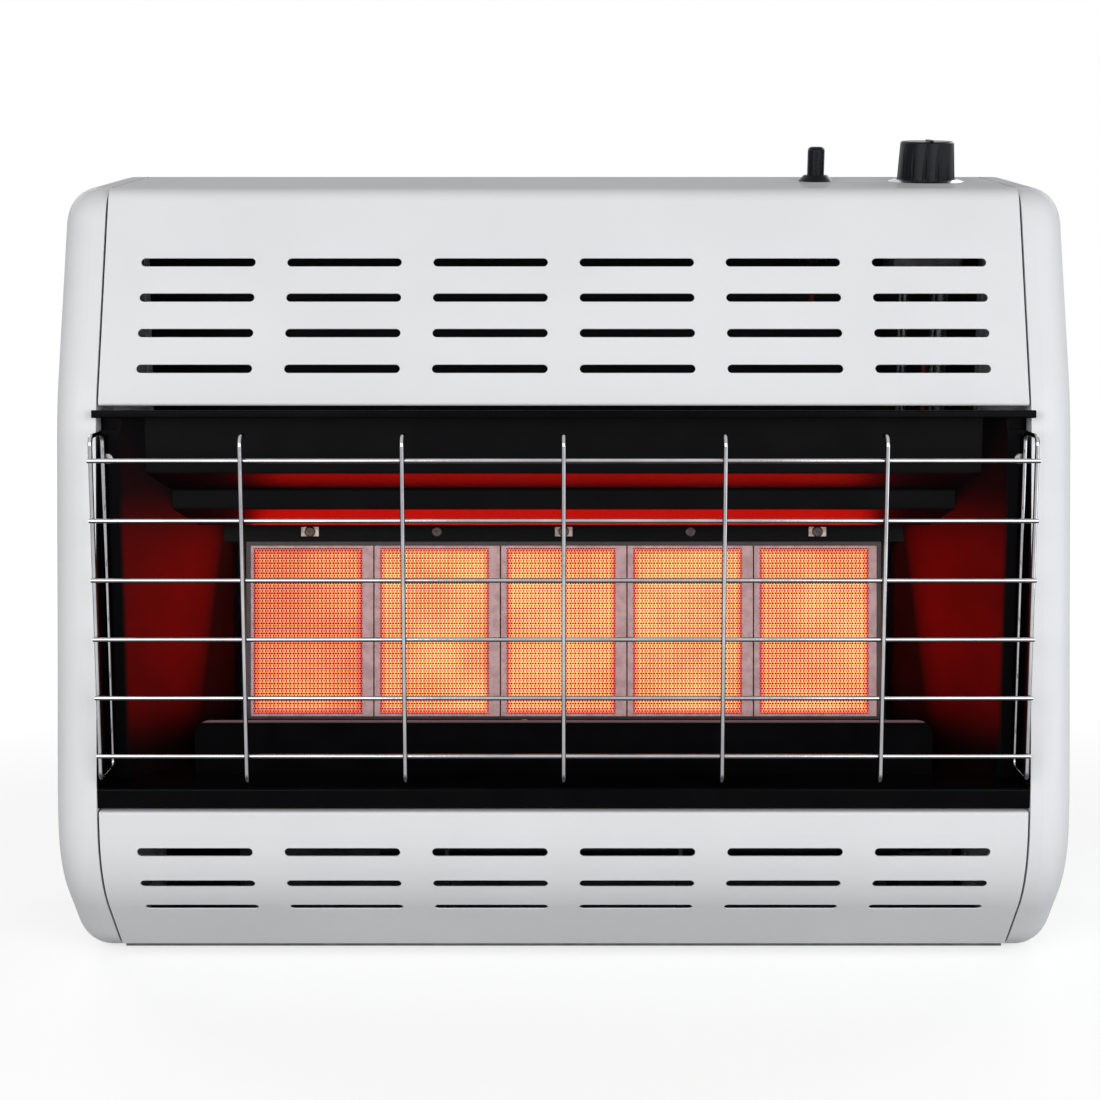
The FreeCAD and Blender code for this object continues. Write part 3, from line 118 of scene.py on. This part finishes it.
# Plain finishes: the patches' two tones, the span of the roughness, how many patches and grains go to a metre, how much
# the grain lifts the surface, and shader sockets
NOISE_MIDDLE = (0.3, 0.7)
PATCH_DETAIL = 3.0
GRAIN_DETAIL = 5.0
METAL = {"Metallic": 1.0}
FINISHES = {
    "casing_white": {
        "tones": ((0.78, 0.785, 0.8), (0.755, 0.76, 0.775)), "rough": (0.3, 0.38),
        "patch": 9.0, "grain": 900.0, "bump": 0.02,
        "sockets": {"Specular IOR Level": 0.0, "Coat Weight": 0.14, "Coat Roughness": 0.08},
    },
    "firebox_black": {
        "tones": BLACK_TONES, "rough": (0.14, 0.2),
        "patch": 30.0, "grain": 700.0, "bump": 0.02, "sockets": {"Specular IOR Level": 0.03},
    },
    "hood_black": {
        "tones": BLACK_TONES, "rough": (0.36, 0.46),
        "patch": 30.0, "grain": 700.0, "bump": 0.02, "sockets": {"Specular IOR Level": 0.04},
    },
    # The baffle's black enamel, with a painted highlight along its top edge
    "baffle_painted_edge": {
        "tones": BLACK_TONES, "rough": (0.14, 0.2),
        "patch": 30.0, "grain": 700.0, "bump": 0.02, "sockets": {"Specular IOR Level": 0.015},
    },
    # Dark red base: painted reflection of the plaques' glow in the black enamel
    "glow_painted_reflector": {
        "tones": ((0.03, 0.0018, 0.0015), (0.023, 0.0015, 0.0013)), "rough": (0.3, 0.4),
        "patch": 30.0, "grain": 700.0, "bump": 0.02, "sockets": {"Specular IOR Level": 0.02},
    },
    "rear_steel": {
        "tones": ((0.46, 0.47, 0.49), (0.4, 0.41, 0.43)), "rough": (0.4, 0.55),
        "patch": 12.0, "grain": 420.0, "bump": 0.05, "sockets": METAL,
    },
    # Toned far darker than the rear panel's zinc, as painted shade for the parts inside the casing
    "galvanised_steel": {
        "tones": ((0.14, 0.145, 0.15), (0.09, 0.095, 0.1)), "rough": (0.35, 0.5),
        "patch": 60.0, "grain": 420.0, "bump": 0.05, "sockets": METAL,
    },
    "burner_steel": {
        "tones": ((0.026, 0.017, 0.019), (0.016, 0.01, 0.012)), "rough": (0.4, 0.55),
        "patch": 70.0, "grain": 600.0, "bump": 0.05, "sockets": {"Metallic": 0.4},
    },
    "burnt_steel": {
        "tones": ((0.06, 0.04, 0.035), (0.03, 0.02, 0.018)), "rough": (0.3, 0.45),
        "patch": 400.0, "grain": 900.0, "bump": 0.1, "sockets": {"Metallic": 0.6},
    },
    "tan_steel": {
        "tones": ((0.36, 0.28, 0.24), (0.2, 0.15, 0.13)), "rough": (0.3, 0.45),
        "patch": 250.0, "grain": 900.0, "bump": 0.08, "sockets": {"Metallic": 0.6},
    },
    "screw_steel": {
        "tones": ((0.32, 0.3, 0.29), (0.2, 0.19, 0.18)), "rough": (0.25, 0.4),
        "patch": 300.0, "grain": 900.0, "bump": 0.05, "sockets": METAL,
    },
    "guard_chrome": {
        "tones": ((0.52, 0.52, 0.54), (0.42, 0.42, 0.44)), "rough": (0.06, 0.14),
        "patch": 45.0, "grain": 500.0, "bump": 0.03, "sockets": METAL,
    },
    "bezel_metal": {
        "tones": ((0.5, 0.5, 0.51), (0.43, 0.43, 0.45)), "rough": (0.16, 0.26),
        "patch": 120.0, "grain": 800.0, "bump": 0.03, "sockets": METAL,
    },
    "brass": {
        "tones": ((0.72, 0.5, 0.2), (0.6, 0.4, 0.15)), "rough": (0.25, 0.38),
        "patch": 150.0, "grain": 700.0, "bump": 0.05, "sockets": METAL,
    },
    "cast_alloy": {
        "tones": ((0.2, 0.2, 0.205), (0.14, 0.14, 0.145)), "rough": (0.45, 0.6),
        "patch": 120.0, "grain": 1100.0, "bump": 0.2, "sockets": METAL,
    },
    "tube_alloy": {
        "tones": ((0.2, 0.205, 0.21), (0.14, 0.145, 0.15)), "rough": (0.25, 0.38),
        "patch": 60.0, "grain": 600.0, "bump": 0.04, "sockets": METAL,
    },
    "black_plastic": {
        "tones": ((0.0015, 0.002, 0.0035), (0.0025, 0.003, 0.0055)), "rough": (0.25, 0.38),
        "patch": 120.0, "grain": 1400.0, "bump": 0.08, "sockets": {"Specular IOR Level": 0.12},
    },
    "gasket_fibre": {
        "tones": ((0.8, 0.78, 0.73), (0.7, 0.68, 0.63)), "rough": (0.85, 0.95),
        "patch": 200.0, "grain": 1500.0, "bump": 0.4, "sockets": {},
    },
    "lead_rubber": {
        "tones": ((0.16, 0.016, 0.01), (0.11, 0.011, 0.008)), "rough": (0.5, 0.62),
        "patch": 80.0, "grain": 900.0, "bump": 0.1, "sockets": {},
    },
    "electrode_ceramic": {
        "tones": ((0.86, 0.85, 0.82), (0.76, 0.75, 0.72)), "rough": (0.12, 0.2),
        "patch": 150.0, "grain": 700.0, "bump": 0.02, "sockets": {},
    },
}

# Nodes that have a finish of their own. The others take the one named after their slot in the record.
OWN_FINISHES = {
    "rear_panel": "rear_steel",
    # The reflectors take the black enamel with the plaques' glow painted on as a dark red reflection
    "right_reflector": "glow_painted_reflector",
    "left_reflector": "glow_painted_reflector",
    "burner_baffle": "baffle_painted_edge",
    "heat_hood": "hood_black",
    "burner_screws": "burnt_steel",
    "burner_clips": "tan_steel",
}

# Floor, which is lifted to white for the camera, less so near the object, where its shadow falls
FLOOR_REACH = 6.0
FLOOR_TONE = (0.48, 0.48, 0.48)
FLOOR_ROUGHNESS = 0.9
FLOOR_LIFT = 0.66
FLOOR_NEAR = 0.5
FLOOR_FAR = 1.8

# Light: the world, soft lamps round the object, and the plaques' red light on the sheets above and beside them
WORLD_LEVEL = 0.17
LAMP_AIM = (0, 0, 0.3)
LAMPS = {
    "key": {"place": (-0.95, -1.85, 0.85), "size": (1.5, 1.1), "power": 22.5, "colour": WHITE},
    "fill": {"place": (1.05, -1.85, 0.8), "size": (1.4, 1.1), "power": 19.0, "colour": WHITE},
    "rear_0": {"place": (-1.3, 1.4, 1.35), "size": (1.2, 0.7), "power": 8.5, "colour": WHITE},
    "rear_1": {"place": (1.3, 1.4, 1.35), "size": (1.2, 0.7), "power": 8.5, "colour": WHITE},
    "side": {"place": (1.7, -0.55, 0.3), "size": (0.9, 0.5), "power": 5.0, "colour": (0.88, 0.96, 1.0)},
}
GLOW_POWER = 8.0
GLOW_COLOUR = (1.0, 0.004, 0.002)
GLOW_SIZE = (0.47, 0.13)
GLOW_AHEAD = 0.003
GLOW_REACHES = ("heat_hood", "right_reflector", "left_reflector")


def add(tree, kind, inputs=None, **settings):
    """Adds a node, sets its properties, and links or fills its inputs."""
    node = tree.nodes.new(kind)
    for key, value in settings.items():
        setattr(node, key, value)
    for key, value in (inputs or {}).items():
        if isinstance(value, bpy.types.NodeSocket):
            tree.links.new(value, node.inputs[key])
        else:
            node.inputs[key].default_value = value
    return node


def math_node(tree, operation, *values):
    inputs = dict(enumerate(values))
    return add(tree, "ShaderNodeMath", inputs, operation=operation).outputs[0]


def vector_node(tree, operation, *values):
    inputs = dict(enumerate(values))
    return add(tree, "ShaderNodeVectorMath", inputs, operation=operation)


def span(tree, value, low, high, out_low, out_high, smooth=True):
    """Maps a value from one range to another and holds it there."""
    kind = "SMOOTHSTEP" if smooth else "LINEAR"
    inputs = {"Value": value, "From Min": low, "From Max": high, "To Min": out_low, "To Max": out_high}
    return add(tree, "ShaderNodeMapRange", inputs, interpolation_type=kind).outputs[0]


def coordinate(tree, output):
    return add(tree, "ShaderNodeTexCoord").outputs[output]


def parts_of(tree, vector):
    return add(tree, "ShaderNodeSeparateXYZ", {0: vector}).outputs


def noise(tree, place, scale, detail=PATCH_DETAIL):
    inputs = {"Vector": place, "Scale": scale, "Detail": detail}
    return add(tree, "ShaderNodeTexNoise", inputs).outputs["Fac"]


def wave(tree, value, length):
    return math_node(tree, "COSINE", math_node(tree, "MULTIPLY", value, 2 * math.pi / length))


def rgba(colour):
    return (*colour, 1.0)


def mix_colours(tree, share, first, second):
    inputs = {0: share, 6: first, 7: second}
    return add(tree, "ShaderNodeMix", inputs, data_type="RGBA").outputs[2]


def new_material(name):
    made = bpy.data.materials.new(name)
    made.use_nodes = True
    tree = made.node_tree
    return made, tree, tree.nodes["Principled BSDF"], coordinate(tree, "Object")


def surface(name, tones, rough, patch, grain, bump, sockets):
    """A finish with soft colour patches, uneven gloss and a fine grain that lifts the surface."""
    made, tree, shader, place = new_material(name)
    patches = span(tree, noise(tree, place, patch), *NOISE_MIDDLE, 0, 1)
    colour = mix_colours(tree, patches, *map(rgba, tones))
    tree.links.new(colour, shader.inputs["Base Color"])
    fine = noise(tree, place, grain, GRAIN_DETAIL)
    tree.links.new(span(tree, fine, *NOISE_MIDDLE, *rough), shader.inputs["Roughness"])
    inputs = {"Height": fine, "Strength": bump, "Distance": MILLIMETRE}
    tree.links.new(add(tree, "ShaderNodeBump", inputs).outputs[0], shader.inputs["Normal"])
    for socket, value in sockets.items():
        shader.inputs[socket].default_value = value
    return made


def change_colour(tree, share, colour):
    """Lays another colour over a finish where the share is one."""
    paint = tree.nodes["Principled BSDF"].inputs["Base Color"]
    mixed = mix_colours(tree, share, paint.links[0].from_socket, rgba(colour))
    tree.links.new(mixed, paint)


def bound_reflector_glow_paint(tree):
    """Leaves the enamel black on the flange, under the hood and near the floor, with the dark red painted reflection of
    the plaques' glow between them.
    """
    x, _, z = parts_of(tree, coordinate(tree, "Object"))
    aside = math_node(tree, "ABSOLUTE", x)
    beside = span(tree, aside, GLOW_PAINT_HALF_WIDTH, GLOW_PAINT_HALF_WIDTH + GLOW_PAINT_EDGE, 0, 1)
    above = span(tree, z, *GLOW_PAINT_TOP, 0, 1)
    below = span(tree, z, *GLOW_PAINT_FOOT, 1, 0)
    black = math_node(tree, "MAXIMUM", beside, math_node(tree, "MAXIMUM", above, below))
    change_colour(tree, black, BLACK_TONES[0])


def paint_edge_highlight(tree):
    """Paints a light highlight along the baffle's top edge."""
    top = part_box("burner_baffle")[1].z
    _, _, z = parts_of(tree, coordinate(tree, "Object"))
    change_colour(tree, span(tree, z, top - HIGHLIGHT_EDGE_WIDTH, top - HIGHLIGHT_EDGE_WIDTH / 2, 0, 1), HIGHLIGHT_EDGE_TONE)


def spangle_and_inside_shade(tree):
    """Zinc spangles on the outside of the rear panel, and near-black painted shade on the inside."""
    inputs = {"Vector": coordinate(tree, "Object"), "Scale": SPANGLE_DENSITY}
    crystal = add(tree, "ShaderNodeTexVoronoi", inputs).outputs["Color"]
    tone, _, _ = parts_of(tree, crystal)
    change_colour(tree, span(tree, tone, 0, 1, 0, SPANGLE_SHARE), SPANGLE_TONE)
    _, facing, _ = parts_of(tree, coordinate(tree, "Normal"))
    # Painted shade: the inside of the rear panel is made near black
    change_colour(tree, span(tree, facing, *INSIDE_SHADE_FACING, 1, 0), INSIDE_SHADE_TONE)


def paint_dark_reflection(tree):
    """Paints the chrome wire dark beside and beneath, as a painted reflection of a dim room."""
    x, _, z = parts_of(tree, coordinate(tree, "Normal"))
    beside = span(tree, math_node(tree, "ABSOLUTE", x), *MIRRORED_DARK_BESIDE, 0, MIRRORED_DARK_SHARE)
    beneath = span(tree, z, *MIRRORED_DARK_BENEATH, MIRRORED_DARK_SHARE, 0)
    change_colour(tree, math_node(tree, "MAXIMUM", beside, beneath), MIRRORED_DARK_TONE)


def lattice(tree, place, pitch, row):
    """Distance to the nearest point of a staggered lattice."""
    high = (pitch / 2, row, 1)
    low = (-pitch / 2, -row, -1)
    lengths = []
    for shift in ((0, 0, 0), (pitch / 2, row, 0)):
        moved = vector_node(tree, "ADD", place, shift).outputs[0]
        wrapped = vector_node(tree, "WRAP", moved, high, low).outputs[0]
        lengths.append(vector_node(tree, "LENGTH", wrapped).outputs["Value"])
    return math_node(tree, "MINIMUM", *lengths)


def plaque_middle():
    """Depth and height of the middle of the plaques' front faces, from the box of a leaning block."""
    low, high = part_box("ceramic_plaque_3")
    lean = math.radians(BURNER_LEAN)
    sine, cosine = math.sin(lean), math.cos(lean)
    tall, deep = high.z - low.z, high.y - low.y
    thickness = (deep * cosine - tall * sine) / (cosine**2 - sine**2)
    middle = (low + high) / 2
    return middle.y - thickness * cosine / 2, middle.z + thickness * sine / 2


def glow_ramp(tree, heat):
    ramp = add(tree, "ShaderNodeValToRGB", {0: heat})
    stops = ramp.color_ramp.elements
    for position, _ in GLOW_STOPS[1:-1]:
        stops.new(position)
    for stop, (position, colour) in zip(stops, GLOW_STOPS):
        stop.position = position
        stop.color = rgba(colour)
    return ramp.outputs[0]


def glowing_ceramic():
    """Perforated ceramic: dark holes, bright spots between them, a cooler rim and a plain border."""
    made, tree, shader, place = new_material("glowing_ceramic")
    middle_y, middle_z = plaque_middle()
    lean = math.radians(BURNER_LEAN)
    centred = vector_node(tree, "SUBTRACT", place, (0, middle_y, middle_z)).outputs[0]
    up_face = (0, math.sin(lean), math.cos(lean))
    rise = vector_node(tree, "DOT_PRODUCT", centred, up_face).outputs["Value"]
    across = parts_of(tree, centred)[0]
    local = math_node(tree, "WRAP", across, PLAQUE_PITCH / 2, -PLAQUE_PITCH / 2)
    local = math_node(tree, "SUBTRACT", local, FIELD_OFFSET)
    edge_u = math_node(tree, "SUBTRACT", FIELD_HALF_WIDTH, math_node(tree, "ABSOLUTE", local))
    edge_v = math_node(tree, "SUBTRACT", FIELD_HALF_HEIGHT, math_node(tree, "ABSOLUTE", rise))
    edge = math_node(tree, "MINIMUM", edge_u, edge_v)
    field = span(tree, edge, 0, FIELD_EDGE, 0, 1)
    on_face = add(tree, "ShaderNodeCombineXYZ", {0: local, 1: rise}).outputs[0]
    from_hole = lattice(tree, on_face, HOLE_PITCH, HOLE_ROW)
    holes = span(tree, from_hole, HOLE_RADIUS / 2, HOLE_RADIUS, 1, 0)
    holes = math_node(tree, "MULTIPLY", holes, span(tree, edge, 0, MILLIMETRE / 2, 0, 1))

    heat = span(tree, noise(tree, place, HEAT_PATCHES), *HEAT_NOISE, *HEAT_LEVELS)
    beyond_left = span(tree, across, *LEFT_PLAQUE_END, 0, 1)
    cells = math_node(tree, "ADD", wave(tree, local, CELL_WIDTH), wave(tree, rise, CELL_HEIGHT))
    for share, change in ((beyond_left, HEAT_BEYOND_LEFT), (cells, HEAT_OF_CELLS), (holes, HEAT_OF_HOLES)):
        heat = math_node(tree, "MULTIPLY_ADD", share, change, heat)
    heat = math_node(tree, "MULTIPLY", heat, span(tree, edge, 0, RIM_WIDTH, HEAT_OF_RIM, 1))
    tree.links.new(glow_ramp(tree, heat), shader.inputs["Emission Color"])
    power = math_node(tree, "MULTIPLY", field, GLOW_STRENGTH)
    tree.links.new(power, shader.inputs["Emission Strength"])

    patches = span(tree, noise(tree, place, CLAY_PATCHES), *CLAY_NOISE, 0, 1)
    clay = mix_colours(tree, patches, *map(rgba, CLAY_TONES))
    clay = mix_colours(tree, field, clay, rgba(FIELD_TONE))
    clay = mix_colours(tree, holes, clay, rgba(HOLE_TONE))
    tree.links.new(clay, shader.inputs["Base Color"])
    shader.inputs["Roughness"].default_value = CLAY_ROUGHNESS
    shader.inputs["Specular IOR Level"].default_value = CLAY_SPECULAR
    inputs = {"Height": math_node(tree, "MULTIPLY", holes, -1), "Strength": HOLE_BUMP, "Distance": MILLIMETRE / 2}
    tree.links.new(add(tree, "ShaderNodeBump", inputs).outputs[0], shader.inputs["Normal"])
    return made


def finishes():
    """Every finish, by the name of its slot or its own name."""
    made = {name: surface(name, **finish) for name, finish in FINISHES.items()}
    bound_reflector_glow_paint(made["glow_painted_reflector"].node_tree)
    paint_edge_highlight(made["baffle_painted_edge"].node_tree)
    spangle_and_inside_shade(made["rear_steel"].node_tree)
    # The guard's chrome gets a painted dark reflection beside and beneath its wires
    paint_dark_reflection(made["guard_chrome"].node_tree)
    made["ceramic"] = glowing_ceramic()
    return made


def dress(frame):
    made = finishes()
    for part in frame["record"]["subparts"]:
        finish = OWN_FINISHES.get(part["node"], part["material_slot"])
        frame["nodes"][part["node"]].material_slots[0].material = made[finish]


def add_camera():
    lens = bpy.data.cameras.new("camera")
    lens.sensor_width = SENSOR_MILLIMETRES
    lens.lens = SENSOR_MILLIMETRES * FOCAL_PIXELS / FRAME_PIXELS
    lens.shift_x = -OBJECT_OFFSET_PIXELS / FRAME_PIXELS
    camera = bpy.data.objects.new("camera", lens)
    guard_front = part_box("guard_uprights")[0].y
    camera.location = (0, guard_front + GUARD_REACH - CAMERA_AHEAD, CAMERA_HEIGHT)
    camera.rotation_euler = (math.radians(90 - CAMERA_PITCH), 0, 0)
    bpy.context.scene.collection.objects.link(camera)
    bpy.context.scene.camera = camera


def white_to_camera(tree):
    """One where the camera, a reflection or glass looks straight at the backdrop, else zero."""
    path = add(tree, "ShaderNodeLightPath").outputs
    seen = math_node(tree, "MAXIMUM", path["Is Camera Ray"], path["Is Glossy Ray"])
    return math_node(tree, "MAXIMUM", seen, path["Is Transmission Ray"])


def floor_paint():
    """Pale matt paint that looks white to the camera and still takes the object's shadow."""
    made, tree, shader, place = new_material("floor_paint")
    shader.inputs["Base Color"].default_value = rgba(FLOOR_TONE)
    shader.inputs["Roughness"].default_value = FLOOR_ROUGHNESS
    shader.inputs["Specular IOR Level"].default_value = 0.0
    shader.inputs["Emission Color"].default_value = rgba(WHITE)
    distance = vector_node(tree, "LENGTH", place).outputs["Value"]
    level = span(tree, distance, FLOOR_NEAR, FLOOR_FAR, FLOOR_LIFT, 1)
    lift = math_node(tree, "MULTIPLY", white_to_camera(tree), level)
    tree.links.new(lift, shader.inputs["Emission Strength"])
    return made


def add_floor():
    mesh = bpy.data.meshes.new("floor")
    reach = FLOOR_REACH
    corners = [(-reach, -reach, 0), (reach, -reach, 0), (reach, reach, 0), (-reach, reach, 0)]
    mesh.from_pydata(corners, [], [(0, 1, 2, 3)])
    mesh.materials.append(floor_paint())
    floor = bpy.data.objects.new("floor", mesh)
    bpy.context.scene.collection.objects.link(floor)


def add_world():
    world = bpy.data.worlds.new("studio")
    bpy.context.scene.world = world
    world.use_nodes = True
    tree = world.node_tree
    backdrop = tree.nodes["Background"].inputs
    backdrop["Color"].default_value = rgba(WHITE)
    level = span(tree, white_to_camera(tree), 0, 1, WORLD_LEVEL, 1, smooth=False)
    tree.links.new(level, backdrop["Strength"])


def add_lamp(name, place, size, power, colour, aim=LAMP_AIM):
    data = bpy.data.lights.new(name, "AREA")
    data.shape = "RECTANGLE"
    data.size, data.size_y = size
    data.energy = power
    data.color = colour
    lamp = bpy.data.objects.new(name, data)
    lamp.location = place
    lamp.rotation_euler = (Vector(aim) - Vector(place)).to_track_quat("-Z", "Y").to_euler()
    bpy.context.scene.collection.objects.link(lamp)
    return lamp


def add_glow(frame):
    """The plaques' red light on the hood and the reflectors."""
    lean = math.radians(BURNER_LEAN)
    ahead = Vector((0, -math.cos(lean), math.sin(lean)))
    place = Vector((0, *plaque_middle())) + ahead * GLOW_AHEAD
    lamp = add_lamp("glow", place, GLOW_SIZE, GLOW_POWER, GLOW_COLOUR, aim=place + ahead)
    lamp.visible_camera = False
    reached = bpy.data.collections.new("glow_reaches")
    for name in GLOW_REACHES:
        reached.objects.link(frame["nodes"][name])
    lamp.light_linking.receiver_collection = reached


def main():
    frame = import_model()
    bpy.context.scene.view_settings.view_transform = "Standard"
    add_camera()
    add_world()
    add_floor()
    for name, lamp in LAMPS.items():
        add_lamp(name, **lamp)
    add_glow(frame)
    dress(frame)


main()
